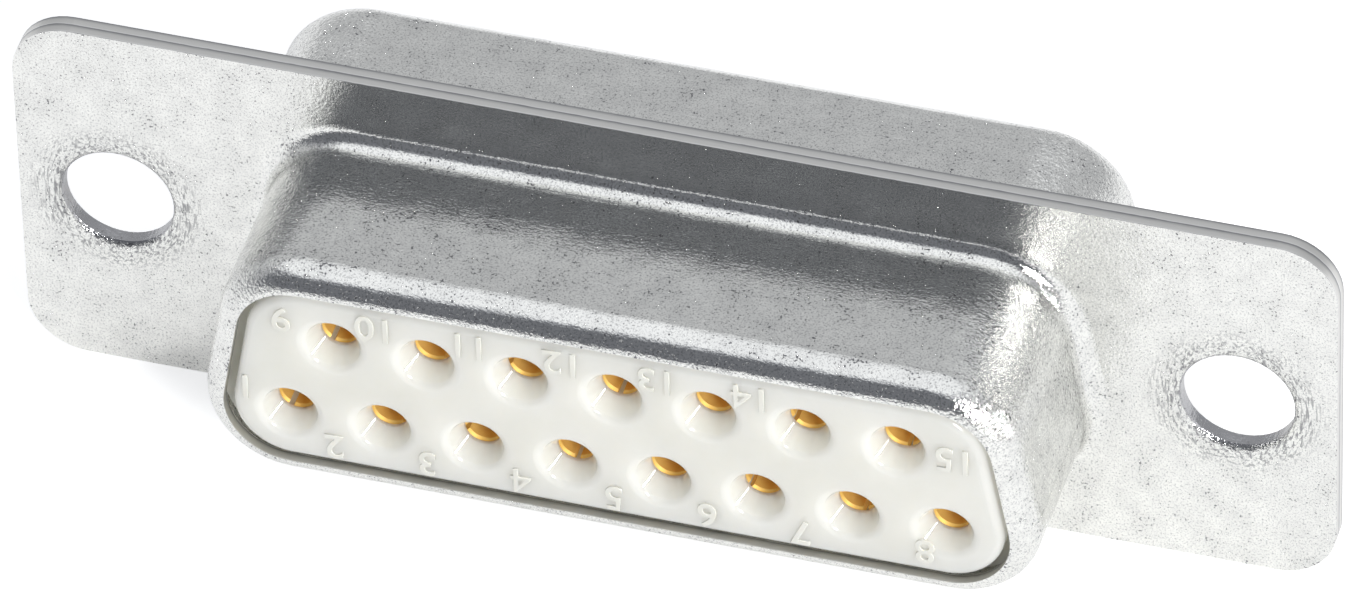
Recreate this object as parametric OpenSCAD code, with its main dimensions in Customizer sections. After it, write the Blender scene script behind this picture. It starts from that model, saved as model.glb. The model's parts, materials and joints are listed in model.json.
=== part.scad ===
// D-subminiature connector, size A: 15 socket contacts in two rows, two drawn steel shells
// flange to flange, two moulded insulators and crimp contacts held by split retention clips.
//
// Each sub-part is drawn lying on its back, with the mating direction along +Z and height 0 on
// the flange's front face. upright() then turns it, so that the connector mates towards -Y and
// its narrow row is on top. The origin is midway between the mounting holes, on that face.

/* [Contact layout] */
// Distance between neighbouring contacts of a row
contact_pitch = 2.77; // [2.7:0.01:2.8]
// Distance between the two rows
row_spacing = 2.84; // [2.8:0.01:2.9]

/* [Both shells] */
// Angle of the D's two short sides
side_angle = 10; // [9:0.5:11]
// Thickness of each shell's sheet
sheet_t = 0.33; // [0.25:0.01:0.4]

/* [Front shell] */
// From the last contact of the wide row to the outside of the skirt
row_end_room = 2.655; // [2.5:0.005:2.8]
// From the contacts of a row to the outside of the skirt's long side
row_side_room = 2.53; // [2.4:0.01:2.7]
// Outer corner radius of the skirt
skirt_corner_r = 2.6; // [2.2:0.1:2.8]
// How far the skirt stands out in front of the flange
skirt_depth = 5.95; // [5.5:0.05:6.4]
// Outer radius of the rounding at the skirt's front end
skirt_rim_r = 0.93; // [0.75:0.01:1]
// Distance from the skirt's outside to the edge of its opening
skirt_rim_inset = 0.72; // [0.6:0.01:0.74]
// Radius where the skirt meets the flange
skirt_root_r = 0.6; // [0.3:0.05:0.8]

/* [Rear shell] */
// How much further out than the skirt the rear box stands, at each short side
box_side_step = 1.25; // [1.1:0.05:1.6]
// How much further out than the skirt it stands, at each long side
box_long_step = 1.4; // [1.3:0.05:1.6]
// Outer corner radius of the rear box
box_corner_r = 2.8; // [2.4:0.1:3.6]
// Distance from the flange's front face to the back of the rear box
box_depth = 4.7; // [4.5:0.05:5.2]
// Outer radius of the rounding at the back of the rear box
box_rim_r = 1; // [0.8:0.05:1.1]
// Distance from the box's outside to the edge of its opening
box_rim_inset = 0.78; // [0.6:0.01:0.79]
// Radius where the rear box meets its flange
box_root_r = 0.4; // [0.3:0.01:0.5]

/* [Flange and mounting holes] */
// Height of the flange above and below the rear box
flange_land = 0.85; // [0.8:0.05:2]
// From the outside of the rear box to the centre of a mounting hole
hole_to_box = 3.06; // [2.9:0.02:4]
// From the centre of a mounting hole to the end of the flange
hole_to_end = 2.94; // [2.6:0.02:4]
// Corner radius of the flange
flange_corner_r = 1.8; // [0.5:0.1:3]
// Diameter of the mounting hole
hole_d = 3.36; // [3:0.02:3.6]
// Width of the rolled edge round the hole, on the front face
hole_roll_w = 0.29; // [0.1:0.01:0.35]
// Depth of the rolled edge
hole_roll_depth = 0.13; // [0.05:0.01:0.18]
// Thickness of the eyelet that the front shell's sheet forms through the rear shell's hole
eyelet_t = 0.25; // [0.2:0.01:0.3]
// Clearance between the eyelet and the rear shell's hole
eyelet_gap = 0.03; // [0.02:0.01:0.08]
// How far the eyelet's lip reaches over the back of the rear shell
lip_w = 0.22; // [0.1:0.01:0.35]
// Thickness of that lip
lip_t = 0.08; // [0.06:0.01:0.15]
// Depth of the 45 degree flare at the eyelet's back end
flare_depth = 0.23; // [0.1:0.01:0.25]

/* [Insulators] */
// How far the front face lies behind the shell's front end
face_drop = 0.1; // [0:0.01:0.3]
// Gap between the front face and the shell's opening, at the short sides
face_gap_side = 0.23; // [0.1:0.01:0.3]
// Gap between the front face and the shell's opening, at the long sides
face_gap_long = 0.15; // [0.05:0.01:0.25]
// Radius of the front face's edge
face_edge_r = 0.25; // [0.05:0.01:0.4]
// Clearance between an insulator and the shell walls round it
shell_gap = 0.08; // [0.03:0.01:0.15]
// Thickness of the front insulator's shoulder, behind the flange
shoulder_t = 1.6; // [1.4:0.05:2]
// How far the rear insulator stands out of the rear box
rear_stand_out = 0.3; // [0.1:0.05:0.6]

/* [Contact entries] */
// Diameter of each funnel where its cone meets the face
funnel_d = 1.74; // [1.6:0.02:1.84]
// Depth of each funnel
funnel_depth = 0.74; // [0.5:0.02:0.9]
// Radius of the rounding from the cone into the face
funnel_edge_r = 0.3; // [0.1:0.01:0.36]
// Diameter of the entry behind the funnel
throat_d = 1.1; // [1.08:0.01:1.2]
// Length of the entry behind the funnel
throat_l = 0.12; // [0.08:0.01:0.2]

/* [Contacts] */
// Bore of the socket that takes the pin
bore_d = 1.06; // [1.03:0.01:1.08]
// Depth of that bore
bore_depth = 4.8; // [4:0.1:5.2]
// Outer diameter of the socket barrel
barrel_d = 1.48; // [1.4:0.02:1.56]
// Clearance round the contact in its cavity
cavity_gap = 0.05; // [0.02:0.01:0.08]
// Width of the slot that splits the barrel into two tines
slot_w = 0.16; // [0.1:0.01:0.22]
// Length of that slot
slot_l = 4.1; // [3:0.1:4.4]
// Diameter of the collar that holds the contact
collar_d = 1.96; // [1.9:0.01:2]
// Length of the collar
collar_l = 0.8; // [0.6:0.05:1]
// Outer diameter of the crimp barrel
crimp_d = 1.72; // [1.66:0.01:1.78]
// Length of the crimp barrel
crimp_l = 3.4; // [3:0.1:3.8]
// Diameter of the wire well
well_d = 1.16; // [1:0.02:1.24]
// Depth of the wire well
well_depth = 2.9; // [2.4:0.1:3]
// Diameter of the inspection hole in the crimp barrel
peep_d = 0.4; // [0.3:0.05:0.5]

/* [Retention clips] */
// Thickness of the clip's sheet
clip_t = 0.12; // [0.1:0.01:0.14]
// Outer diameter of the clip
clip_d = 2.36; // [2.34:0.01:2.4]
// Length of the clip
clip_l = 1.64; // [1.5:0.02:1.8]
// Length of its inward bent tines
tine_l = 0.64; // [0.5:0.02:0.8]
// Width of the slots between the tines
tine_slot_w = 0.3; // [0.2:0.02:0.4]

/* [Hidden] */
wide_row = 8;
narrow_row = 7;
contact_count = wide_row + narrow_row;

function two_digits(i) = str(i < 10 ? "0" : "", i);
function numbered(name) = [for (i = [1:contact_count]) str(name, "_", two_digits(i))];

$fn = 64;
overlap = 0.01;                 // how far a cut runs past the face that it opens
shy = 0.002;                    // how far straight walls stand inside the corners they run into
corner_lap = 0.05;              // how far they run into them
arc_steps = 12;                 // straight steps in each corner of a moulded outline

// Widths and heights are built up from the contact layout outwards, each with its own room, so
// that one size can change without running a hole or a wall into its neighbour.
skirt_w = (wide_row - 1) * contact_pitch + 2 * row_end_room;
skirt_h = row_spacing + 2 * row_side_room;
box_w = skirt_w + 2 * box_side_step;
box_h = skirt_h + 2 * box_long_step;
hole_spacing = box_w + 2 * hole_to_box;
flange_w = hole_spacing + 2 * hole_to_end;
flange_h = box_h + 2 * flange_land;

// A D outline is [width over the wide side, height, corner radius].
skirt = [skirt_w, skirt_h, skirt_corner_r];
box = [box_w, box_h, box_corner_r];
function inset(d, by) = [d[0] - 2 * by, d[1] - 2 * by, d[2] - by];
function corner_y(d) = d[1] / 2 - d[2];
function wide_x(d) = d[0] / 2 - d[2];
function narrow_x(d) = wide_x(d) - 2 * corner_y(d) * tan(side_angle);

// Heights along the mating direction
flange_back = -2 * sheet_t;
lip_room = 0.02;                // play between the eyelet's lip and the rear shell
lip_z = flange_back - lip_room;
eyelet_end_z = lip_z - lip_t;
face_z = skirt_depth - face_drop;
seat_z = -sheet_t;              // back of the front shell's flange, where the shoulder seats
split_z = seat_z - shoulder_t;  // where the two insulators meet
throat_z = face_z - funnel_depth;
mouth_z = throat_z - throat_l - cavity_gap;
collar_z = split_z + collar_l;
clip_room = 0.03;               // play of the clip between the collar and its seat
clip_z = split_z - clip_room;
clip_seat_z = clip_z - clip_l - clip_room;
neck_room = 0.3;                // neck left bare behind the tines
crimp_z = split_z - tine_l - neck_room;
contact_end_z = crimp_z - crimp_l;

// Radii round a contact
cavity_r = barrel_d / 2 + cavity_gap;
collar_seat_r = collar_d / 2 + cavity_gap;
clip_seat_r = clip_d / 2 + cavity_gap / 2;
neck_r = barrel_d / 2;
tine_tip_r = neck_r + cavity_gap;
edge = 0.08;                    // chamfer on the turned edges of a contact

// [x, y] of contact i: the wide row is numbered first, from -X
function contact_at(i) = i <= wide_row
    ? [(i - (wide_row + 1) / 2) * contact_pitch, -row_spacing / 2]
    : [(i - wide_row - (narrow_row + 1) / 2) * contact_pitch, row_spacing / 2];

module upright() rotate([90, 0, 0]) children();

module at_contacts() {
    for (i = [1:contact_count]) translate(contact_at(i)) children();
}

// ---- D outlines ----

function arc(centre, r, from, to) = [
    for (i = [0:arc_steps])
        let (a = from + (to - from) * i / arc_steps) centre + r * [cos(a), sin(a)]
];

function d_points(d) = concat(
    arc([narrow_x(d), corner_y(d)], d[2], side_angle, 90),
    arc([-narrow_x(d), corner_y(d)], d[2], 90, 180 - side_angle),
    arc([-wide_x(d), -corner_y(d)], d[2], 180 - side_angle, 270),
    arc([wide_x(d), -corner_y(d)], d[2], 270, 360 + side_angle)
);

module d_block(d, z0, z1) {
    translate([0, 0, z0]) linear_extrude(z1 - z0) polygon(d_points(d));
}

// A stretch of wall along +Y with its outside towards +X. It runs a little way into the corner
// at each end.
module straight_wall(length) {
    translate([0, length + corner_lap, 0]) rotate([90, 0, 0])
        linear_extrude(length + 2 * corner_lap) children();
}

// Carries a wall section round the D: children(0) round the corners and children(1) along the
// sides. In a section, X is the distance from the centre of a corner and Y is the height. The
// section of the sides is drawn shy of the corners' by "shy" all round, so that its ends sink
// into them and the two never share a face.
module around_d(d) {
    side = 2 * corner_y(d) / cos(side_angle);
    for (left = [0, 1]) mirror([left, 0, 0]) {
        translate([narrow_x(d), corner_y(d), 0]) rotate(side_angle)
            rotate_extrude(angle = 90 - side_angle) children(0);
        translate([wide_x(d), -corner_y(d), 0]) rotate(-90)
            rotate_extrude(angle = 90 + side_angle) children(0);
        translate([wide_x(d), -corner_y(d), 0]) rotate(side_angle)
            straight_wall(side) children(1);
    }
    translate([narrow_x(d), corner_y(d), 0]) rotate(90)
        straight_wall(2 * narrow_x(d)) children(1);
    translate([-wide_x(d), -corner_y(d), 0]) rotate(-90)
        straight_wall(2 * wide_x(d)) children(1);
}

// ---- Shells ----

// A quarter of a bend: its inner radius, its thickness and the quadrant that it fills
module bend(inner_r, t, quadrant) {
    intersection() {
        difference() {
            circle(inner_r + t);
            circle(inner_r);
        }
        rotate(quadrant * 90) square(inner_r + t);
    }
}

// Section of a drawn wall that stands on a flange whose outer face is at height 0: root bend,
// wall, and the rounding at its far end, cut off where the opening is punched. It is drawn "by"
// thinner on every side.
module drawn_section(d, depth, rim_r, rim_inset, root_r, by) {
    band = 0.3;                     // flat rim of the root, which the flange plate laps
    t = sheet_t - 2 * by;
    root_x = d[2] + root_r;
    rim_x = d[2] - rim_r;
    rim_z = depth - rim_r;
    translate([root_x, by - sheet_t]) square([band, t]);
    translate([root_x, root_r]) bend(root_r + by, t, 2);
    translate([d[2] - sheet_t + by, root_r]) square([t, rim_z - root_r]);
    intersection() {
        translate([rim_x, rim_z]) bend(rim_r - sheet_t + by, t, 0);
        translate([d[2] - rim_inset + by, 0]) square([rim_inset, depth]);
    }
}

module drawn_wall(d, depth, rim_r, rim_inset, root_r) {
    around_d(d) {
        drawn_section(d, depth, rim_r, rim_inset, root_r, 0);
        drawn_section(d, depth, rim_r, rim_inset, root_r, shy);
    }
}

// The flange plate. Its opening lies on the flat band round the drawn wall's root, and has
// tighter corners, so that they end clear of the wall's own.
module flange_plate(d, root_r) {
    grow = root_r + 0.12;           // from the wall's outside to the middle of the band
    tighter = 0.15;                 // how much tighter the corners are
    opening = [d[0] + 2 * grow, d[1] + 2 * grow, d[2] + grow - tighter];
    difference() {
        translate([0, 0, -sheet_t]) linear_extrude(sheet_t) rounded_plate();
        d_block(opening, -sheet_t - overlap, overlap);
    }
}

module rounded_plate() {
    x = flange_w / 2 - flange_corner_r;
    y = flange_h / 2 - flange_corner_r;
    square([flange_w, 2 * y], center = true);
    square([2 * x, flange_h], center = true);
    for (sx = [-1, 1], sy = [-1, 1]) translate([sx * x, sy * y]) circle(flange_corner_r);
}

module at_mounting_holes() {
    for (s = [-1, 1]) translate([s * hole_spacing / 2, 0, 0]) children();
}

module hole(d, z0, z1) {
    translate([0, 0, z0]) cylinder(d = d, h = z1 - z0);
}

// The edge that the punch rolls in round a hole: an arc that is tangent to the face
module rolled_edge() {
    r = (hole_roll_w ^ 2 + hole_roll_depth ^ 2) / (2 * hole_roll_depth);
    rotate_extrude() difference() {
        translate([0, -hole_roll_depth]) square([hole_d / 2 + hole_roll_w, hole_roll_depth + overlap]);
        translate([hole_d / 2 + hole_roll_w, -r]) circle(r);
    }
}

// The front shell's sheet, drawn through the rear shell's hole and turned out behind it. It holds
// the two shells together.
module eyelet() {
    hole(hole_d + 2 * eyelet_t, eyelet_end_z + lip_t / 2, -sheet_t / 2);
    hole(hole_d + 2 * (eyelet_t + lip_w), eyelet_end_z, lip_z);
}

module eyelet_bore() {
    hole(hole_d, eyelet_end_z - overlap, overlap);
    rolled_edge();
    translate([0, 0, eyelet_end_z - overlap])
        cylinder(
            d1 = hole_d + 2 * (flare_depth + overlap),
            d2 = hole_d,
            h = flare_depth + overlap
        );
}

module front_shell() {
    color("gainsboro") upright() difference() {
        union() {
            flange_plate(skirt, skirt_root_r);
            drawn_wall(skirt, skirt_depth, skirt_rim_r, skirt_rim_inset, skirt_root_r);
            at_mounting_holes() eyelet();
        }
        at_mounting_holes() eyelet_bore();
    }
}

module rear_shell() {
    depth = box_depth + flange_back;    // from this shell's own flange face
    eyelet_hole_d = hole_d + 2 * (eyelet_t + eyelet_gap);
    color("lightgray") upright() translate([0, 0, flange_back]) mirror([0, 0, 1])
        difference() {
            union() {
                flange_plate(box, box_root_r);
                drawn_wall(box, depth, box_rim_r, box_rim_inset, box_root_r);
            }
            at_mounting_holes()
                hole(eyelet_hole_d, -sheet_t - overlap, overlap);
        }
}

// ---- Insulators ----

// Section of a rounded edge, with the block behind it for a width of core
module edge_section(d, z0, z1, edge_r, core, by) {
    translate([d[2] - core, z0]) square([core - by, z1 - edge_r - z0]);
    translate([d[2] - core, z0]) square([core - edge_r, z1 - by - z0]);
    translate([d[2] - edge_r, z1 - edge_r]) intersection() {
        circle(edge_r - by);
        square(edge_r);
    }
}

// A block with its front edge rounded
module rounded_block(d, z0, z1, edge_r) {
    core = edge_r + 2 * corner_lap; // width of the rounded band, which the block inside laps
    d_block(inset(d, edge_r + corner_lap), z0, z1);
    around_d(d) {
        edge_section(d, z0, z1, edge_r, core, 0);
        edge_section(d, z0, z1, edge_r, core, shy);
    }
}

// The front insulator's face, as far as it reaches into the shell's opening
face = [
    skirt_w - 2 * (skirt_rim_inset + face_gap_side),
    skirt_h - 2 * (skirt_rim_inset + face_gap_long),
    skirt_corner_r - skirt_rim_inset - face_gap_long
];
body = inset(skirt, sheet_t + shell_gap);
block = inset(box, sheet_t + shell_gap);
body_front_z = skirt_depth - skirt_rim_r - shell_gap;
sink = 0.5;                     // how far each step of the insulator reaches into the next
block_back_z = box_rim_r + shell_gap - box_depth;

// Rounds a funnel's cone over into the face. The arc stops a little short of tangent, so that it
// crosses the cone at a clear angle.
module funnel_rounding() {
    lean = atan((funnel_d - throat_d) / 2 / funnel_depth);
    depth = funnel_edge_r * (1 - sin(lean));
    short = 0.97;
    edge_x = funnel_d / 2 + short * depth / cos(lean);
    rotate_extrude() difference() {
        translate([0, -depth]) square([edge_x, depth + overlap]);
        translate([edge_x, -funnel_edge_r]) circle(funnel_edge_r);
    }
}

module entry_cavity() {
    hole(throat_d, mouth_z - overlap, throat_z + overlap);
    translate([0, 0, throat_z])
        cylinder(d1 = throat_d, d2 = funnel_d, h = funnel_depth);
    translate([0, 0, face_z]) funnel_rounding();
    hole(2 * cavity_r, split_z, mouth_z + cavity_gap);
    hole(2 * collar_seat_r, split_z - overlap, collar_z);
}

module front_insulator() {
    color("linen") upright() difference() {
        union() {
            rounded_block(face, body_front_z - sink, face_z, face_edge_r);
            d_block(body, seat_z - sink, body_front_z);
            d_block(block, split_z, seat_z);
        }
        at_contacts() entry_cavity();
    }
}

module clip_cavity() {
    hole(2 * clip_seat_r, clip_seat_z, split_z + overlap);
    hole(2 * collar_seat_r, -box_depth - rear_stand_out - overlap, clip_seat_z + overlap);
}

module rear_insulator() {
    color("antiquewhite") upright() difference() {
        union() {
            d_block(block, block_back_z, split_z);
            d_block(
                inset(box, box_rim_inset + face_gap_long),
                -box_depth - rear_stand_out,
                block_back_z
            );
        }
        at_contacts() clip_cavity();
    }
}

// ---- Contacts and clips ----

// A turned contact on its own axis: slotted socket, collar, neck and crimp barrel
module contact_body() {
    bore_r = bore_d / 2;
    barrel_r = barrel_d / 2;
    collar_r = collar_d / 2;
    crimp_r = crimp_d / 2;
    well_r = well_d / 2;
    bore_end = mouth_z - bore_depth;
    well_end = contact_end_z + well_depth;
    drill_tip = 0.3;                // cone left by the drill at the end of a bore, for its radius
    difference() {
        rotate_extrude() polygon([
            [0, bore_end - drill_tip * bore_r],
            [bore_r, bore_end],
            [bore_r, mouth_z - edge],
            [bore_r + edge, mouth_z],
            [barrel_r - edge, mouth_z],
            [barrel_r, mouth_z - edge],
            [barrel_r, collar_z],
            [collar_r, collar_z],
            [collar_r, split_z],
            [neck_r, split_z],
            [neck_r, crimp_z],
            [crimp_r, crimp_z],
            [crimp_r, contact_end_z + edge],
            [crimp_r - edge, contact_end_z],
            [well_r, contact_end_z],
            [well_r, well_end],
            [0, well_end + drill_tip * well_r]
        ]);
        translate([-barrel_d, -slot_w / 2, mouth_z - slot_l])
            cube([2 * barrel_d, slot_w, slot_l + overlap]);
        translate([0, 0, well_end - peep_d]) rotate([0, 90, 0])
            cylinder(d = peep_d, h = crimp_d);
    }
}

// Each contact sits turned by chance, here by a fixed step
contact_turn = 67;

module contact(i) {
    color("goldenrod") upright()
        translate(contact_at(i)) rotate(contact_turn * i) contact_body();
}

// A sheet ring that bears on the cavity's floor, with tines that close in behind the collar
module clip_body() {
    outer_r = clip_d / 2;
    inner_r = outer_r - clip_t;
    back_z = clip_z - clip_l;
    bend_z = clip_z - tine_l;
    difference() {
        rotate_extrude() polygon([
            [inner_r, back_z],
            [outer_r, back_z],
            [outer_r, bend_z],
            [tine_tip_r + clip_t, clip_z],
            [tine_tip_r, clip_z],
            [inner_r, bend_z]
        ]);
        translate([0, -tine_slot_w / 2, back_z - overlap])
            cube([clip_d, tine_slot_w, clip_l + 2 * overlap]);
        for (a = [90:90:270]) rotate(a)
            translate([0, -tine_slot_w / 2, bend_z])
                cube([clip_d, tine_slot_w, tine_l + overlap]);
    }
}

module retention_clip(i) {
    color("silver") upright()
        translate(contact_at(i)) rotate(-contact_turn * i) clip_body();
}

front_shell();
rear_shell();
front_insulator();
rear_insulator();
for (i = [1:contact_count]) {
    contact(i);
    retention_clip(i);
}
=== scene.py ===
import bpy
import json
import math
from mathutils import Matrix, Vector


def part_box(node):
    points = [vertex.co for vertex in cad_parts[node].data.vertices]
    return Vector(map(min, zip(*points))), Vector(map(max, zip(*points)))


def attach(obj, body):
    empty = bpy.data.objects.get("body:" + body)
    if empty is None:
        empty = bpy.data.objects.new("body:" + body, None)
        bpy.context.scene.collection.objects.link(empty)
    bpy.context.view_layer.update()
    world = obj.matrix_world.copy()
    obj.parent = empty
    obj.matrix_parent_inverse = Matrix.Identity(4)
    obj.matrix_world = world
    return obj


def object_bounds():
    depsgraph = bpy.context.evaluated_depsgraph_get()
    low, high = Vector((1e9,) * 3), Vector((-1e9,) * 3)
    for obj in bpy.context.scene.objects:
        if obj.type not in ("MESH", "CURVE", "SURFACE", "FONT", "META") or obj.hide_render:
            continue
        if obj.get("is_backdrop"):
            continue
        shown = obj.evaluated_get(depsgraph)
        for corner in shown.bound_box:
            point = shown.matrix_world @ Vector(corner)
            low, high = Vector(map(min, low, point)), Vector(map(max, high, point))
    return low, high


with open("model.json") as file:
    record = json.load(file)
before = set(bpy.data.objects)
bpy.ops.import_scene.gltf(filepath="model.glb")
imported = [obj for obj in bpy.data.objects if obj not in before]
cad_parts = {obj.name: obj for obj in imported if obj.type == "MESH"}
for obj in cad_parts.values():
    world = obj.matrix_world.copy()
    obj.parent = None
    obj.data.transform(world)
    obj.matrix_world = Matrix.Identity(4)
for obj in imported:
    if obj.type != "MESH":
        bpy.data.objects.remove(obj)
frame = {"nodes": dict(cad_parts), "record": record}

# D-subminiature connector, 15 sockets: drawn tin-plated shells, glass-filled polyester insulators,
# gold-plated socket contacts and their copper-alloy clips. The CAD nodes keep their shape and get
# their finish here. Only the raised position numbers are modelled in this file.

mm = 0.001
low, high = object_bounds()
nodes = frame["nodes"]
mounts = {m["name"]: m for m in frame["record"]["mounts"]}
holes = mounts["mounting_holes"]["dims"]
holeX = holes["spacing_x_mm"] / 2 * mm
holeRadius = holes["hole_r_mm"] * mm


def hexColour(text):
    # sRGB hex to the linear values that shaders take
    channels = [int(text[i:i + 2], 16) / 255 for i in (0, 2, 4)]
    linear = [c / 12.92 if c <= 0.04045 else ((c + 0.055) / 1.055) ** 2.4 for c in channels]
    return (*linear, 1.0)


def addNode(material, kind, inputs=None, stops=None, **settings):
    # one node with its settings; an input is a value, or an output socket to link,
    # and stops are the places and colours of a colour ramp
    tree = material.node_tree
    node = tree.nodes.new(kind)
    for name, value in settings.items():
        setattr(node, name, value)
    for key, value in (inputs or {}).items():
        if isinstance(value, bpy.types.NodeSocket):
            tree.links.new(value, node.inputs[key])
        else:
            node.inputs[key].default_value = value
    if stops:
        elements = node.color_ramp.elements
        while len(elements) < len(stops):
            elements.new(0.5)
        for element, (place, colour) in zip(elements, stops):
            element.position = place
            element.color = hexColour(colour) if isinstance(colour, str) else (colour, colour, colour, 1)
    return node


def newMaterial(name):
    material = bpy.data.materials.new(name)
    material.use_nodes = True
    material.node_tree.nodes.clear()
    return material


def finishMaterial(material, shader):
    out = addNode(material, "ShaderNodeOutputMaterial")
    material.node_tree.links.new(shader, out.inputs["Surface"])
    return material


def perMillimetre(size):
    # noise scale, in features per metre, for features of this size in millimetres
    return 1 / (size * mm)


print("stage: materials")

tinPlate = {
    "colour": "f5f5f1",         # tin is a light, nearly neutral grey
    "dullColour": "e5e5e2",
    "frostColour": "bcbcbb",
    # painted shade: the colour that darkens the creases round the punched holes
    "creaseWithShadeColour": "9a9a9b",
    "pitColour": "7c7c80",
    "wallColour": "b6b6b8",     # where the punch burnished the plate
    # even patterns: size in mm, detail, roughness of the noise
    "patterns": {
        "grain": (0.075, 2.0, 0.6),     # the steel's grain under the plate
        "wave": (1.5, 2.0, 0.45),       # the drawn sheet's unevenness
        "cloud": (0.9, 5.0, 0.65),      # drifts of duller plate
        "frost": (0.06, 3.0, 0.7),      # crystals that stand out of the plate
        "peel": (0.14, 3.0, 0.6),       # orange peel where drawing stretched the corners
        "pit": (0.085, 1.0, 0.5),       # pinholes and specks
    },
    "lines": 0.09,              # mm, spacing of the rolling mill's lines, which run along the sheet
    "flatShare": 0.4,           # what is left of the lines and the peel on the flat flange
    "peelFrom": (9.2, 10.6),    # mm from the middle, where the peel starts and is full
    "dullFrom": (0.38, 0.7),    # heights of the cloud between which the plate goes dull
    "crowd": 0.5,               # how much the pits gather in the clouds
    # heights of a pattern at which its mark starts and is full
    "marks": {"frost": (0.5, 0.66), "creaseWithShade": (0.49, 0.63), "pit": (0.945, 0.985)},
    "creaseWithShade": 0.1,              # mm, width of the creases round a punched hole
    "creaseLength": 5,          # times their width
    "creaseBend": 0.6,
    "creaseCircle": 1.3,        # radius at which they have that length, in radii of the hole
    "creasedFrom": (0.75, 1.7), # mm from the hole's wall, where they start to fade and where they end
    "creasedWander": 0.9,       # mm by which the clouds push that ring inwards
    "wallDepth": 0.04,          # mm round the hole that count as its wall
    "roughness": (0.05, 0.1),   # of the plate, from clear to clouded
    "roughFrom": (0.35, 0.65),
    "pitRoughness": 0.1,        # more than the plate's
    "wallRoughness": 0.15,
    # mm of relief
    "heights": {"wave": 0.03, "grain": 0.0065, "peel": 0.042, "creaseWithShade": 0.024, "pit": -0.03},
}

# lines are as many times longer than wide; drawnY is where the flat flange ends and where the sheet
# is fully drawn, in mm
shells = {
    "front_shell": {"finish": "brightTinOnDrawnSteel", "lineLength": 4, "lineHeight": 0.0045,
                    "drawnY": (-0.2, -1.2)},
    "rear_shell": {"finish": "brightTinOnBrushedSteel", "lineLength": 40, "lineHeight": 0.006,
                   "drawnY": (0.9, 2.0)},
}


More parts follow.
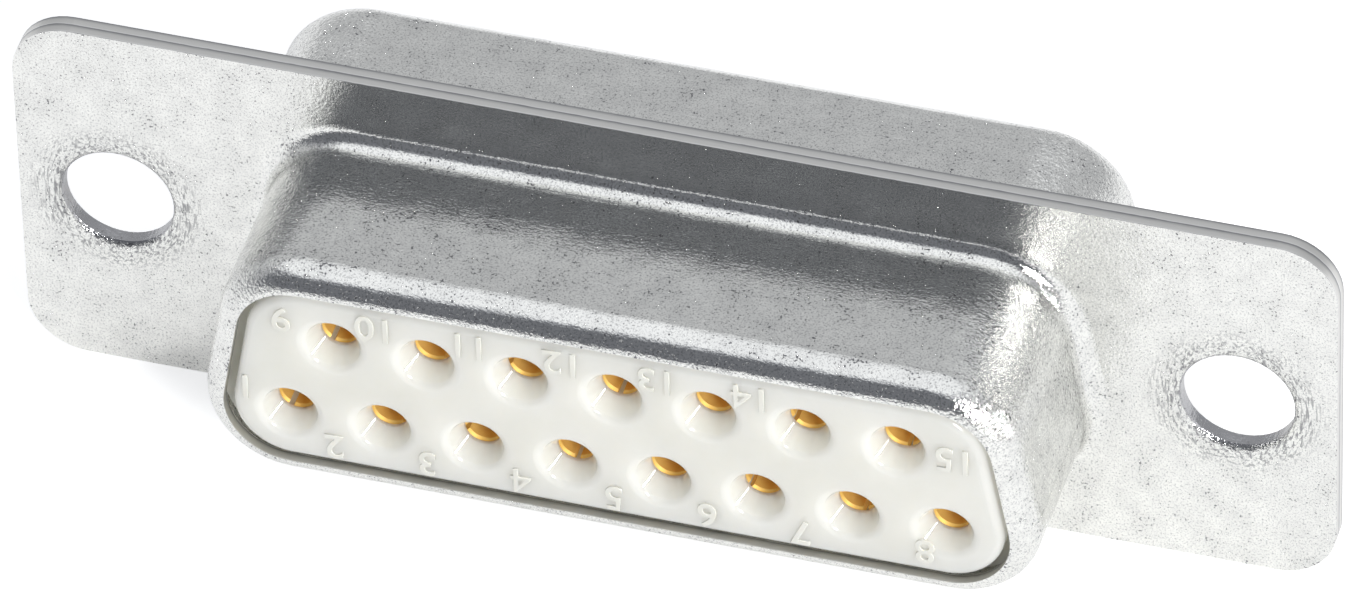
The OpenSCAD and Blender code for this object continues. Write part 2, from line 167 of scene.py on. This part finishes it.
def makeTinPlate(finish, lineLength, lineHeight, drawnY):
    # bright tin plate on deep-drawn steel: a near mirror, blurred by the steel's grain and wavy
    # from the press, with the mill's lines along it, pits, and creases round the punched holes, which
    # are darkened with painted shade
    t = tinPlate
    m = newMaterial(finish)
    place = addNode(m, "ShaderNodeTexCoord").outputs["Object"]
    axes = addNode(m, "ShaderNodeSeparateXYZ", {"Vector": place})
    pattern = {}
    for name, (size, detail, harshness) in t["patterns"].items():
        noise = addNode(m, "ShaderNodeTexNoise", {"Vector": place, "Scale": perMillimetre(size),
                                                  "Detail": detail, "Roughness": harshness})
        pattern[name] = noise.outputs["Fac"]
    stretch = addNode(m, "ShaderNodeMapping", {"Vector": place, "Scale": (1 / lineLength, 1, 1)})
    lines = addNode(m, "ShaderNodeTexNoise", {"Vector": stretch.outputs[0],
                                              "Scale": perMillimetre(t["lines"]),
                                              "Detail": 2.0}).outputs["Fac"]
    # the flange lay flat under the blank holder, so the lines and the peel fade there
    drawn = addNode(m, "ShaderNodeMapRange", {"Value": axes.outputs["Y"], "From Min": drawnY[0] * mm,
                                              "From Max": drawnY[1] * mm,
                                              "To Min": t["flatShare"]}).outputs[0]
    side = addNode(m, "ShaderNodeMath", {0: axes.outputs["X"]}, operation="ABSOLUTE").outputs[0]
    start, full = t["peelFrom"]
    stretched = addNode(m, "ShaderNodeMapRange", {"Value": side, "From Min": start * mm,
                                                  "From Max": full * mm},
                        interpolation_type="SMOOTHSTEP").outputs[0]
    stretched = addNode(m, "ShaderNodeMath", {0: stretched, 1: drawn}, operation="MULTIPLY").outputs[0]
    # round each hole: distance from its axis, and creases that run along the ring
    across = addNode(m, "ShaderNodeMath", {0: side, 1: holeX}, operation="SUBTRACT").outputs[0]
    spoke = addNode(m, "ShaderNodeCombineXYZ", {0: across, 1: axes.outputs["Z"]})
    radius = addNode(m, "ShaderNodeVectorMath", {0: spoke.outputs[0]}, operation="LENGTH").outputs["Value"]
    angle = addNode(m, "ShaderNodeMath", {0: axes.outputs["Z"], 1: across}, operation="ARCTAN2").outputs[0]
    around = addNode(m, "ShaderNodeMath", {0: angle, 1: holeRadius * t["creaseCircle"] / t["creaseLength"]},
                     operation="MULTIPLY").outputs[0]
    ring = addNode(m, "ShaderNodeCombineXYZ", {0: around, 1: radius, 2: axes.outputs["X"]})
    creases = addNode(m, "ShaderNodeTexNoise", {"Vector": ring.outputs[0],
                                                "Scale": perMillimetre(t["creaseWithShade"]),
                                                "Detail": 2.0,
                                                "Distortion": t["creaseBend"]}).outputs["Fac"]
    wander = addNode(m, "ShaderNodeMath", {0: pattern["cloud"], 1: t["creasedWander"] * mm, 2: radius},
                     operation="MULTIPLY_ADD").outputs[0]
    fade, end = t["creasedFrom"]
    creased = addNode(m, "ShaderNodeMapRange", {"Value": wander, "From Min": holeRadius + fade * mm,
                                                "From Max": holeRadius + end * mm,
                                                "To Min": 1.0, "To Max": 0.0},
                      interpolation_type="SMOOTHSTEP").outputs[0]
    wall = addNode(m, "ShaderNodeMath", {0: radius, 1: holeRadius + t["wallDepth"] * mm},
                   operation="LESS_THAN").outputs[0]
    # pits gather where the plate is thin
    crowd = addNode(m, "ShaderNodeMath", {0: pattern["cloud"], 1: t["crowd"], 2: pattern["pit"]},
                    operation="MULTIPLY_ADD").outputs[0]
    mark = {"frost": pattern["frost"], "creaseWithShade": creases, "pit": crowd}
    for name, (start, full) in t["marks"].items():
        mark[name] = addNode(m, "ShaderNodeValToRGB", {"Fac": mark[name]},
                             stops=[(start, 0.0), (full, 1.0)]).outputs[0]
    # the creases darken the plate's colour here, as painted shade
    mark["creaseWithShade"] = addNode(m, "ShaderNodeMath", {0: mark["creaseWithShade"], 1: creased},
                             operation="MULTIPLY").outputs[0]
    mark["wall"] = wall
    clear, dull = t["dullFrom"]
    colour = addNode(m, "ShaderNodeValToRGB", {"Fac": pattern["cloud"]},
                     stops=[(clear, t["colour"]), (dull, t["dullColour"])]).outputs[0]
    for name, mask in mark.items():
        colour = addNode(m, "ShaderNodeMix", {"Factor": mask, 6: colour, 7: hexColour(t[name + "Colour"])},
                         data_type="RGBA").outputs[2]
    clear, dull = t["roughFrom"]
    least, most = t["roughness"]
    rough = addNode(m, "ShaderNodeMapRange", {"Value": pattern["cloud"], "From Min": clear, "From Max": dull,
                                              "To Min": least, "To Max": most}).outputs[0]
    for name in ("pit", "wall"):
        rough = addNode(m, "ShaderNodeMath", {0: mark[name], 1: t[name + "Roughness"], 2: rough},
                        operation="MULTIPLY_ADD").outputs[0]
    # heights in millimetres, added up for one bump
    lines = addNode(m, "ShaderNodeMath", {0: lines, 1: drawn}, operation="MULTIPLY").outputs[0]
    peel = addNode(m, "ShaderNodeMath", {0: pattern["peel"], 1: stretched}, operation="MULTIPLY").outputs[0]
    creases = addNode(m, "ShaderNodeMath", {0: creases, 1: creased}, operation="MULTIPLY").outputs[0]
    height = addNode(m, "ShaderNodeMath", {0: lines, 1: lineHeight}, operation="MULTIPLY").outputs[0]
    forms = {"wave": pattern["wave"], "grain": pattern["grain"], "peel": peel, "creaseWithShade": creases,
             "pit": mark["pit"]}
    for name, form in forms.items():
        height = addNode(m, "ShaderNodeMath", {0: form, 1: t["heights"][name], 2: height},
                         operation="MULTIPLY_ADD").outputs[0]
    bump = addNode(m, "ShaderNodeBump", {"Height": height, "Strength": 1.0, "Distance": mm})
    shader = addNode(m, "ShaderNodeBsdfPrincipled", {"Base Color": colour, "Roughness": rough,
                                                     "Metallic": 1.0, "Normal": bump.outputs[0]})
    return finishMaterial(m, shader.outputs[0])


polyester = {
    "colour": "eae9e1",
    "deepColour": "e3e2d9",
    "mottle": 2.4,              # mm, flow marks
    "fibre": 0.24,              # mm, glass fibres near the skin
    "fibreHeight": 0.006,
    "fibreStrength": 0.25,
    "deepFrom": (0.3, 0.75),    # heights of the mottle between which it deepens
    "roughness": 0.09,
    "translucence": 0.85,
    "depth": 1.5,               # mm that light travels in it
}


def makePolyester(finish, depth):
    # natural glass-filled PBT, injection moulded: warm white, slightly translucent, satin
    t = polyester
    m = newMaterial(finish)
    place = addNode(m, "ShaderNodeTexCoord").outputs["Object"]
    mottle = addNode(m, "ShaderNodeTexNoise", {"Vector": place, "Scale": perMillimetre(t["mottle"]),
                                               "Detail": 5.0, "Roughness": 0.6}).outputs["Fac"]
    fibre = addNode(m, "ShaderNodeTexNoise", {"Vector": place, "Scale": perMillimetre(t["fibre"]),
                                              "Detail": 3.0}).outputs["Fac"]
    start, full = t["deepFrom"]
    colour = addNode(m, "ShaderNodeValToRGB", {"Fac": mottle},
                     stops=[(start, t["colour"]), (full, t["deepColour"])]).outputs[0]
    bump = addNode(m, "ShaderNodeBump", {"Height": fibre, "Strength": t["fibreStrength"],
                                         "Distance": t["fibreHeight"] * mm})
    shader = addNode(m, "ShaderNodeBsdfPrincipled", {"Base Color": colour, "Roughness": t["roughness"],
                                                     "IOR": 1.55, "Subsurface Weight": t["translucence"],
                                                     "Subsurface Radius": (1.0, 0.96, 0.9),
                                                     "Subsurface Scale": depth * mm,
                                                     "Normal": bump.outputs[0]})
    return finishMaterial(m, shader.outputs[0])


goldPlate = {
    "colour": "f0ca72",
    "dullColour": "e4b65c",
    "cloud": 0.7,               # mm, drifts of thinner gold
    "dullFrom": (0.35, 0.7),    # heights of the cloud between which it dulls
    "turning": 0.0986,          # mm, pitch of the turning marks
    "turningHeight": 0.004,
    "turningStrength": 0.2,
    "roughness": 0.55,
    "metallic": 0.5,            # the matt flash scatters like a paint where it lines the bore
}


def makeGoldPlate():
    # gold flash over nickel on a turned contact: rings from the tool, softened by the plate
    t = goldPlate
    m = newMaterial("goldPlatedTurnedCopper")
    place = addNode(m, "ShaderNodeTexCoord").outputs["Object"]
    cloud = addNode(m, "ShaderNodeTexNoise", {"Vector": place, "Scale": perMillimetre(t["cloud"]),
                                              "Detail": 4.0}).outputs["Fac"]
    clear, dull = t["dullFrom"]
    colour = addNode(m, "ShaderNodeValToRGB", {"Fac": cloud},
                     stops=[(clear, t["colour"]), (dull, t["dullColour"])]).outputs[0]
    # a band of the wave texture is pi / 10 wide at scale 1
    rings = addNode(m, "ShaderNodeTexWave", {"Vector": place,
                                             "Scale": perMillimetre(t["turning"]) * math.pi / 10,
                                             "Distortion": 0.6, "Detail": 1.0}, bands_direction="Y")
    bump = addNode(m, "ShaderNodeBump", {"Height": rings.outputs["Fac"], "Strength": t["turningStrength"],
                                         "Distance": t["turningHeight"] * mm})
    shader = addNode(m, "ShaderNodeBsdfPrincipled", {"Base Color": colour, "Roughness": t["roughness"],
                                                     "Metallic": t["metallic"], "Normal": bump.outputs[0]})
    return finishMaterial(m, shader.outputs[0])


springAlloy = {
    "colour": "c08f5a",
    "dullColour": "8f6a44",
    "roughness": 0.34,
    "streak": 0.6,              # mm, length of the rolling lines
    "streakNarrowing": 20,      # times narrower than long
    "streakHeight": 0.005,
    "streakStrength": 0.2,
    "dullFrom": (0.35, 0.7),
}


def makeSpringAlloy():
    # rolled beryllium copper, stamped and heat treated: brownish, with rolling lines
    t = springAlloy
    m = newMaterial("rolledBerylliumCopper")
    place = addNode(m, "ShaderNodeTexCoord").outputs["Object"]
    lines = addNode(m, "ShaderNodeMapping", {"Vector": place, "Scale": (1, t["streakNarrowing"], 1)})
    noise = addNode(m, "ShaderNodeTexNoise", {"Vector": lines.outputs[0],
                                              "Scale": perMillimetre(t["streak"]),
                                              "Detail": 4.0}).outputs["Fac"]
    clear, dull = t["dullFrom"]
    colour = addNode(m, "ShaderNodeValToRGB", {"Fac": noise},
                     stops=[(clear, t["colour"]), (dull, t["dullColour"])]).outputs[0]
    bump = addNode(m, "ShaderNodeBump", {"Height": noise, "Strength": t["streakStrength"],
                                         "Distance": t["streakHeight"] * mm})
    shader = addNode(m, "ShaderNodeBsdfPrincipled", {"Base Color": colour, "Roughness": t["roughness"],
                                                     "Metallic": 1.0, "Normal": bump.outputs[0]})
    return finishMaterial(m, shader.outputs[0])


shearedEdge = {
    "sheet": 0.33,              # mm, thickness of the sheet
    # across the cut: a dark seam at each corner, which is painted shade, the rounding that the punch drew
    # in, the sheared band, the torn one
    "cutBandsAndSeamShade": [(0.0, "98989a"), (0.07, "efefed"), (0.2, "e0dfdc"), (0.6, "d8d7d4"), (0.8, "c2c2c0"),
              (0.93, "98989a")],
    "bandWander": 0.16,         # of the sheet's thickness
    "roughness": 0.38,
    "lines": 0.06,              # mm, the cut's fine lines, along the edge
    "linesLength": 8,
    "lineHeight": 0.003,
    "steepest": 0.05,           # how far a cut face's normal may lean out of the sheet's plane
    "cornerReach": 1.9,         # mm from the flange's ends that hold its rounded corners
    "rimReach": 0.01,           # mm from its straight edges
    "mouthReach": 0.4,          # mm behind a shell's punched end
}


def makeShearedEdge():
    # edge of the sheet where the punch cut it: tin wiped over bare steel, duller than the faces
    t = shearedEdge
    m = newMaterial("shearedTinnedSteelEdge")
    place = addNode(m, "ShaderNodeTexCoord").outputs["Object"]
    along = addNode(m, "ShaderNodeMapping", {"Vector": place, "Scale": (1 / t["linesLength"], 1,
                                                                        1 / t["linesLength"])})
    lines = addNode(m, "ShaderNodeTexNoise", {"Vector": along.outputs[0], "Scale": perMillimetre(t["lines"]),
                                              "Detail": 3.0}).outputs["Fac"]
    depth = addNode(m, "ShaderNodeSeparateXYZ", {"Vector": place}).outputs["Y"]
    depth = addNode(m, "ShaderNodeMath", {0: depth, 1: t["sheet"] * mm}, operation="DIVIDE").outputs[0]
    depth = addNode(m, "ShaderNodeMath", {0: lines, 1: t["bandWander"], 2: depth},
                    operation="MULTIPLY_ADD").outputs[0]
    depth = addNode(m, "ShaderNodeMath", {0: depth, 1: t["bandWander"] / 2}, operation="SUBTRACT").outputs[0]
    depth = addNode(m, "ShaderNodeMath", {0: depth}, operation="FRACT").outputs[0]
    # the dark seams at both corners of the cut are painted shade; the bands between them are the cut's own
    # zones
    colour = addNode(m, "ShaderNodeValToRGB", {"Fac": depth}, stops=t["cutBandsAndSeamShade"]).outputs[0]
    bump = addNode(m, "ShaderNodeBump", {"Height": lines, "Strength": 1.0, "Distance": t["lineHeight"] * mm})
    shader = addNode(m, "ShaderNodeBsdfPrincipled", {"Base Color": colour, "Roughness": t["roughness"],
                                                     "Metallic": 1.0, "Normal": bump.outputs[0]})
    return finishMaterial(m, shader.outputs[0])


slotMaterials = {"insulator": makePolyester("mouldedGlassFilledPbt", polyester["depth"]),
                 "contact_gold": makeGoldPlate(), "clip": makeSpringAlloy()}
nodeMaterials = {name: makeTinPlate(**values) for name, values in shells.items()}
for part in frame["record"]["subparts"]:
    mesh = nodes[part["node"]].data
    mesh.materials.clear()
    mesh.materials.append(nodeMaterials.get(part["node"]) or slotMaterials[part["material_slot"]])


edgeMaterial = makeShearedEdge()
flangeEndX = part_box("front_shell")[1].x
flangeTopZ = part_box("front_shell")[1].z
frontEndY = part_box("front_shell")[0].y
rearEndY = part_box("rear_shell")[1].y


def onFlangeRim(point):
    pastX = abs(point.x) - flangeEndX
    pastZ = abs(point.z) - flangeTopZ
    corner = -shearedEdge["cornerReach"] * mm
    return (pastX > corner and pastZ > corner) or max(pastX, pastZ) > -shearedEdge["rimReach"] * mm


def markShearedEdges(name, inMouth):
    # the cut faces of a shell take a second material
    mesh = nodes[name].data
    mesh.materials.append(edgeMaterial)
    turn = nodes[name].matrix_world
    count = 0
    for face in mesh.polygons:
        centre = turn @ face.center
        upright = abs((turn.to_3x3() @ face.normal).normalized().y) < shearedEdge["steepest"]
        if upright and (onFlangeRim(centre) or inMouth(centre.y)):
            face.material_index = 1
            count += 1
    print(f"{name}: {count} faces of sheared edge")


mouthReach = shearedEdge["mouthReach"] * mm
markShearedEdges("front_shell", lambda y: y < frontEndY + mouthReach)
markShearedEdges("rear_shell", lambda y: y > rearEndY - mouthReach)


print("stage: position numbers")

# 1 to 8 stand in the wide row, 9 to 15 in the narrow one
numbers = {
    "wideCount": 8,
    "height": 0.9 * mm,
    "fontSize": 1.38,           # in heights of a digit
    "thickness": 0.028 * mm,    # to each side of the face, before the edges are rounded
    "rounding": 0.014 * mm,
    "weight": 0.002 * mm,       # how much bolder than the font its strokes are
    "depth": 0.05,              # mm that light travels in such a thin form
    "wideRow": (-1.46 * mm, -0.95 * mm),    # from the contact's centre: across, up
    "narrowRow": (-1.46 * mm, 1.06 * mm),
    # these stand elsewhere, where the face has room
    "places": {1: (-1.27 * mm, 0.77 * mm), 8: (-0.59 * mm, -0.8 * mm), 9: (-1.49 * mm, 0.8 * mm),
               15: (1.71 * mm, 0.08 * mm)},
}
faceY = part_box("front_insulator")[0].y
contactCount = sum(name.startswith("contact_") for name in nodes)


def contactCentre(number):
    lowCorner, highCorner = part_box(f"contact_{number:02d}")
    return (lowCorner + highCorner) / 2


def makeNumber(number):
    n = numbers
    centre = contactCentre(number)
    row = n["wideRow"] if number <= n["wideCount"] else n["narrowRow"]
    dx, dz = n["places"].get(number, row)
    curve = bpy.data.curves.new(f"number_{number:02d}", "FONT")
    curve.body = str(number)
    curve.align_x = "CENTER"
    curve.align_y = "CENTER"
    curve.size = n["height"] * n["fontSize"]
    curve.extrude = n["thickness"]
    curve.offset = n["weight"]
    curve.bevel_depth = n["rounding"]
    curve.resolution_u = 6
    text = bpy.data.objects.new(f"number_{number:02d}", curve)
    bpy.context.scene.collection.objects.link(text)
    # upright on the face, then turned half round in its plane, to read with the wide row on top
    place = Matrix.Translation((centre.x + dx, faceY, centre.z + dz))
    text.matrix_world = place @ Matrix.Rotation(math.pi, 4, "Y") @ Matrix.Rotation(math.pi / 2, 4, "X")
    bpy.context.view_layer.update()
    mesh = bpy.data.meshes.new_from_object(text)
    mesh.transform(text.matrix_world)
    piece = bpy.data.objects.new(f"number_{number:02d}_piece", mesh)
    bpy.data.objects.remove(text)
    bpy.context.scene.collection.objects.link(piece)
    mesh.materials.clear()
    mesh.materials.append(digitMaterial)
    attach(piece, "root")


digitMaterial = makePolyester("mouldedGlassFilledPbtDigits", numbers["depth"])
for number in range(1, contactCount + 1):
    makeNumber(number)


print("stage: floor and light")

studio = {
    "floorColour": "f6f6f6",
    "floorShade": "f3f3f3",
    "floorMottle": 40.0,        # patches of shade in a metre
    "shadeFrom": (0.3, 0.7),    # heights of the mottle between which the shade comes in
    "floorGlow": 0.44,          # what it adds to its own light for the eye, and through glass
    "floorShine": 0.18,         # and in the metal
    "floorSize": 3.0,           # metres
    "tentSide": 0.56,           # brightness of the tent's walls
    "tentTop": 1.05,
    "topFrom": (47, 62),        # elevations over which it changes, degrees
    "tentColour": "f6f8fc",
    # a wide dark panel in front: what the shells' tops, their roots and the left corners reflect.
    # Its sizes are in degrees, its rounding and blur are shares of them, and it lets a share of light by
    "flag": {"azimuth": -15, "elevation": 21, "halfWidth": 46, "halfHeight": 34, "rounding": 0.3,
             "blur": 0.2, "share": 0.38, "colour": "d9dff0"},
}


def makeFloor():
    t = studio
    m = newMaterial("paintedStudioTable")
    place = addNode(m, "ShaderNodeTexCoord").outputs["Object"]
    noise = addNode(m, "ShaderNodeTexNoise", {"Vector": place, "Scale": t["floorMottle"], "Detail": 2.0})
    start, full = t["shadeFrom"]
    colour = addNode(m, "ShaderNodeValToRGB", {"Fac": noise.outputs["Fac"]},
                     stops=[(start, t["floorColour"]), (full, t["floorShade"])]).outputs[0]
    diffuse = addNode(m, "ShaderNodeBsdfDiffuse", {"Color": colour})
    path = addNode(m, "ShaderNodeLightPath")
    seen = addNode(m, "ShaderNodeMath", {0: path.outputs["Is Camera Ray"],
                                         1: path.outputs["Is Transmission Ray"]}, operation="MAXIMUM")
    glow = addNode(m, "ShaderNodeMath", {0: seen.outputs[0], 1: t["floorGlow"]}, operation="MULTIPLY")
    glow = addNode(m, "ShaderNodeMath", {0: path.outputs["Is Glossy Ray"], 1: t["floorShine"],
                                         2: glow.outputs[0]}, operation="MULTIPLY_ADD")
    emission = addNode(m, "ShaderNodeEmission", {"Color": (1, 1, 1, 1), "Strength": glow.outputs[0]})
    both = addNode(m, "ShaderNodeAddShader", {0: diffuse.outputs[0], 1: emission.outputs[0]})
    finishMaterial(m, both.outputs[0])
    half = t["floorSize"] / 2
    corners = [(x * half, y * half, low.z) for x, y in ((-1, -1), (1, -1), (1, 1), (-1, 1))]
    mesh = bpy.data.meshes.new("floor")
    mesh.from_pydata(corners, [], [(0, 1, 2, 3)])
    mesh.materials.append(m)
    floor = bpy.data.objects.new("floor", mesh)
    bpy.context.scene.collection.objects.link(floor)
    floor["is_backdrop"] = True


makeFloor()

# azimuth counts from straight in front towards +X, in degrees, and distance and size are in metres
lamps = {
    "key": {"azimuth": 39, "elevation": 26, "distance": 0.6, "size": 0.1, "power": 2.2},
    # a bare bulb at the right that rims every edge. It stands level with the face, which the skirt
    # would shade, so it casts no shadow
    "rim": {"azimuth": 91, "elevation": 15, "distance": 0.6, "size": 0.02, "power": 0.8, "shadow": False},
}


def directionOf(azimuth, elevation):
    a, e = math.radians(azimuth), math.radians(elevation)
    return Vector((math.cos(e) * math.sin(a), -math.cos(e) * math.cos(a), math.sin(e)))


def makeLamp(name, azimuth, elevation, distance, size, power, shadow=True):
    light = bpy.data.lights.new(name, "AREA")
    light.size = size
    light.energy = power
    light.use_shadow = shadow
    lamp = bpy.data.objects.new(name, light)
    way = directionOf(azimuth, elevation)
    lamp.location = way * distance
    lamp.rotation_euler = way.to_track_quat("Z", "Y").to_euler()
    bpy.context.scene.collection.objects.link(lamp)


for name, values in lamps.items():
    makeLamp(name, **values)


def makeWorld():
    # a white tent, brighter overhead, with the dark panel hung in it
    t = studio
    world = bpy.data.worlds.new("studioTent")
    bpy.context.scene.world = world
    world.use_nodes = True
    world.node_tree.nodes.clear()
    way = addNode(world, "ShaderNodeTexCoord").outputs["Generated"]
    height = addNode(world, "ShaderNodeSeparateXYZ", {"Vector": way}).outputs["Z"]
    start, end = (math.sin(math.radians(a)) for a in t["topFrom"])
    level = addNode(world, "ShaderNodeMapRange", {"Value": height, "From Min": start, "From Max": end,
                                                  "To Min": t["tentSide"], "To Max": t["tentTop"]},
                    interpolation_type="SMOOTHSTEP").outputs[0]
    flag = t["flag"]
    towards = directionOf(flag["azimuth"], flag["elevation"])
    sideways = Vector((0, 0, 1)).cross(towards).normalized()
    upward = towards.cross(sideways).normalized()
    ahead = addNode(world, "ShaderNodeVectorMath", {0: way, 1: towards}, operation="DOT_PRODUCT")
    across = addNode(world, "ShaderNodeVectorMath", {0: way, 1: sideways}, operation="DOT_PRODUCT")
    above = addNode(world, "ShaderNodeVectorMath", {0: way, 1: upward}, operation="DOT_PRODUCT")
    across = addNode(world, "ShaderNodeMath", {0: across.outputs["Value"],
                                               1: math.sin(math.radians(flag["halfWidth"]))},
                     operation="DIVIDE")
    above = addNode(world, "ShaderNodeMath", {0: above.outputs["Value"],
                                              1: math.sin(math.radians(flag["halfHeight"]))},
                    operation="DIVIDE")
    across = addNode(world, "ShaderNodeMath", {0: across.outputs[0]}, operation="ABSOLUTE")
    above = addNode(world, "ShaderNodeMath", {0: above.outputs[0]}, operation="ABSOLUTE")
    reach = addNode(world, "ShaderNodeMath", {0: across.outputs[0], 1: above.outputs[0],
                                              2: flag["rounding"]}, operation="SMOOTH_MAX")
    # the opposite half of the sky is far past the panel's edge
    behind = addNode(world, "ShaderNodeMath", {0: ahead.outputs["Value"], 1: 0.0}, operation="LESS_THAN")
    reach = addNode(world, "ShaderNodeMath", {0: behind.outputs[0], 1: 9.0, 2: reach.outputs[0]},
                    operation="MULTIPLY_ADD")
    share = addNode(world, "ShaderNodeMapRange", {"Value": reach.outputs[0],
                                                  "From Min": 1 - flag["blur"],
                                                  "From Max": 1 + flag["blur"],
                                                  "To Min": flag["share"], "To Max": 1.0},
                    interpolation_type="SMOOTHSTEP").outputs[0]
    strength = addNode(world, "ShaderNodeMath", {0: level, 1: share}, operation="MULTIPLY").outputs[0]
    colour = addNode(world, "ShaderNodeMix", {"Factor": share, 6: hexColour(flag["colour"]),
                                              7: hexColour(t["tentColour"])}, data_type="RGBA").outputs[2]
    background = addNode(world, "ShaderNodeBackground", {"Color": colour, "Strength": strength})
    out = addNode(world, "ShaderNodeOutputWorld")
    world.node_tree.links.new(background.outputs[0], out.inputs["Surface"])


makeWorld()


print("stage: camera")

view = {
    "azimuth": 17.551,          # degrees
    "elevation": 42.564,
    "distance": 450.548 * mm,
    "target": (0.182 * mm, 0.068 * mm, 0.010 * mm),
    "roll": -1.786,             # degrees
    "lens": 418.39,             # mm
    "sensor": 36,
}


def makeCamera():
    v = view
    data = bpy.data.cameras.new("camera")
    data.lens = v["lens"]
    data.sensor_width = v["sensor"]
    data.clip_start = 0.01
    camera = bpy.data.objects.new("camera", data)
    way = directionOf(v["azimuth"], v["elevation"])
    roll = Matrix.Rotation(math.radians(v["roll"]), 4, "Z")
    turn = way.to_track_quat("Z", "Y").to_matrix().to_4x4()
    camera.matrix_world = Matrix.Translation(Vector(v["target"]) + way * v["distance"]) @ turn @ roll
    bpy.context.scene.collection.objects.link(camera)
    bpy.context.scene.camera = camera


makeCamera()
bpy.context.scene.view_settings.view_transform = "Standard"

low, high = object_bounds()
